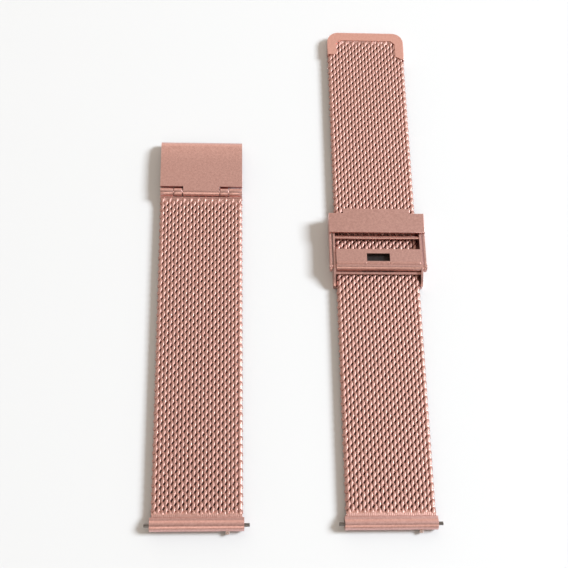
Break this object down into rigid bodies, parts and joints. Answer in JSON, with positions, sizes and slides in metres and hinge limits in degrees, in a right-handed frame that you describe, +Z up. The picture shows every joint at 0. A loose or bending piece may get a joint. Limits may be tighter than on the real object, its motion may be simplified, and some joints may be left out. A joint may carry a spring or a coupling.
{
  "type": "watch strap set",
  "caption": "Woven metal mesh watch strap in two pieces, with quick-release spring bars, a sliding lock and a hinged cover with a hook.",
  "frame": {"origin": "middle of the outline of both straps as they lie side by side, on the surface they lie on", "axes": "+X from the short strap to the long strap, +Y from the lug ends towards the clasp and the tip, +Z up out of the outer faces"},
  "size_m": [0.064, 0.1268, 0.0044],
  "materials": {
    "mesh": "woven round wire, rose-gold coating, lightly flattened crowns",
    "lug": "satin rose-gold coating on steel",
    "clasp": "fine bead-blasted rose-gold coating on steel",
    "slider": "fine bead-blasted rose-gold coating on steel",
    "tip": "satin rose-gold coating on steel",
    "pins": "polished rose-gold coating on steel",
    "spring_bar": "dull dark steel",
    "leaf": "blackened spring steel"
  },
  "bodies": {
    "long_track": {"long_mesh_main": "mesh", "tip_cap": "tip"},
    "long_segment_4": {"long_mesh_4": "mesh"},
    "long_segment_3": {"long_mesh_3": "mesh"},
    "long_segment_2": {"long_mesh_2": "mesh"},
    "long_segment_1": {"long_lug_tube": "lug", "long_spring_bar_barrel": "spring_bar", "long_fixed_tip": "spring_bar", "long_bar_spring": "spring_bar", "long_mesh_1": "mesh"},
    "long_release": {"long_release_tip": "spring_bar"},
    "slider": {"slider_frame": "slider", "slider_bridge": "slider", "hook_bar": "pins", "lever_rivets": "pins"},
    "lever": {"lock_lever": "slider", "lever_leaf": "leaf"},
    "short_segment_1": {"short_lug_tube": "lug", "short_spring_bar_barrel": "spring_bar", "short_fixed_tip": "spring_bar", "short_bar_spring": "spring_bar", "short_mesh_1": "mesh"},
    "short_release": {"short_release_tip": "spring_bar"},
    "short_segment_2": {"short_mesh_2": "mesh"},
    "short_segment_3": {"short_mesh_3": "mesh"},
    "short_segment_4": {"short_mesh_4": "mesh"},
    "short_segment_5": {"short_mesh_5": "mesh"},
    "short_segment_6": {"short_mesh_6": "mesh"},
    "short_segment_7": {"short_mesh_7": "mesh"},
    "short_segment_8": {"short_mesh_8": "mesh", "short_hinge_end": "clasp", "hinge_pin": "pins"},
    "cover": {"cover_plate": "clasp"},
    "hook": {"hook_plate": "clasp"}
  },
  "joints": [
    {"name": "long_bend_1", "type": "hinge", "parent": "long_track", "child": "long_segment_4", "pos_m": [0.02057, -0.02473, 0.00145], "axis": [1, 0, 0], "range_deg": [-20, 20]},
    {"name": "long_bend_2", "type": "hinge", "parent": "long_segment_4", "child": "long_segment_3", "pos_m": [0.02057, -0.03353, 0.00145], "axis": [1, 0, 0], "range_deg": [-20, 20]},
    {"name": "long_bend_3", "type": "hinge", "parent": "long_segment_3", "child": "long_segment_2", "pos_m": [0.02057, -0.04233, 0.00145], "axis": [1, 0, 0], "range_deg": [-20, 20]},
    {"name": "long_bend_4", "type": "hinge", "parent": "long_segment_2", "child": "long_segment_1", "pos_m": [0.02057, -0.05113, 0.00145], "axis": [1, 0, 0], "range_deg": [-20, 20]},
    {"name": "long_tip_release", "type": "slide", "parent": "long_segment_1", "child": "long_release", "axis": [-1, 0, 0], "range_m": [0, 0.0012], "stiffness_N_per_m": 300, "springref_m": -0.0012},
    {"name": "slider_travel", "type": "slide", "parent": "long_track", "child": "slider", "axis": [0, 1, 0], "range_m": [-0.0174, 0.0466]},
    {"name": "lever_lift", "type": "hinge", "parent": "slider", "child": "lever", "pos_m": [0.02057, -0.00258, 0.00315], "axis": [1, 0, 0], "range_deg": [0, 95]},
    {"name": "short_strap_place", "type": "slide", "parent": "long_track", "child": "short_segment_1", "axis": [-1, 0, 0], "range_m": [0, 0.02]},
    {"name": "short_tip_release", "type": "slide", "parent": "short_segment_1", "child": "short_release", "axis": [-1, 0, 0], "range_m": [0, 0.0012], "stiffness_N_per_m": 300, "springref_m": -0.0012},
    {"name": "short_bend_1", "type": "hinge", "parent": "short_segment_1", "child": "short_segment_2", "pos_m": [-0.02082, -0.05052, 0.00145], "axis": [-1, 0, 0], "range_deg": [-20, 20]},
    {"name": "short_bend_2", "type": "hinge", "parent": "short_segment_2", "child": "short_segment_3", "pos_m": [-0.02082, -0.04111, 0.00145], "axis": [-1, 0, 0], "range_deg": [-20, 20]},
    {"name": "short_bend_3", "type": "hinge", "parent": "short_segment_3", "child": "short_segment_4", "pos_m": [-0.02082, -0.03169, 0.00145], "axis": [-1, 0, 0], "range_deg": [-20, 20]},
    {"name": "short_bend_4", "type": "hinge", "parent": "short_segment_4", "child": "short_segment_5", "pos_m": [-0.02082, -0.02228, 0.00145], "axis": [-1, 0, 0], "range_deg": [-20, 20]},
    {"name": "short_bend_5", "type": "hinge", "parent": "short_segment_5", "child": "short_segment_6", "pos_m": [-0.02082, -0.01287, 0.00145], "axis": [-1, 0, 0], "range_deg": [-20, 20]},
    {"name": "short_bend_6", "type": "hinge", "parent": "short_segment_6", "child": "short_segment_7", "pos_m": [-0.02082, -0.00346, 0.00145], "axis": [-1, 0, 0], "range_deg": [-20, 20]},
    {"name": "short_bend_7", "type": "hinge", "parent": "short_segment_7", "child": "short_segment_8", "pos_m": [-0.02082, 0.00596, 0.00145], "axis": [-1, 0, 0], "range_deg": [-20, 20]},
    {"name": "cover_lift", "type": "hinge", "parent": "short_segment_8", "child": "cover", "pos_m": [-0.02082, 0.01697, 0.00205], "axis": [1, 0, 0], "range_deg": [0, 120]},
    {"name": "hook_swing", "type": "hinge", "parent": "cover", "child": "hook", "pos_m": [-0.02082, 0.01697, 0.00205], "axis": [1, 0, 0], "range_deg": [-85, 0]}
  ],
  "couplings": [
    {"joint": "long_bend_2", "follows": "long_bend_1", "ratio": 1},
    {"joint": "long_bend_3", "follows": "long_bend_1", "ratio": 1},
    {"joint": "long_bend_4", "follows": "long_bend_1", "ratio": 1},
    {"joint": "short_bend_2", "follows": "short_bend_1", "ratio": 1},
    {"joint": "short_bend_3", "follows": "short_bend_1", "ratio": 1},
    {"joint": "short_bend_4", "follows": "short_bend_1", "ratio": 1},
    {"joint": "short_bend_5", "follows": "short_bend_1", "ratio": 1},
    {"joint": "short_bend_6", "follows": "short_bend_1", "ratio": 1},
    {"joint": "short_bend_7", "follows": "short_bend_1", "ratio": 1}
  ]
}
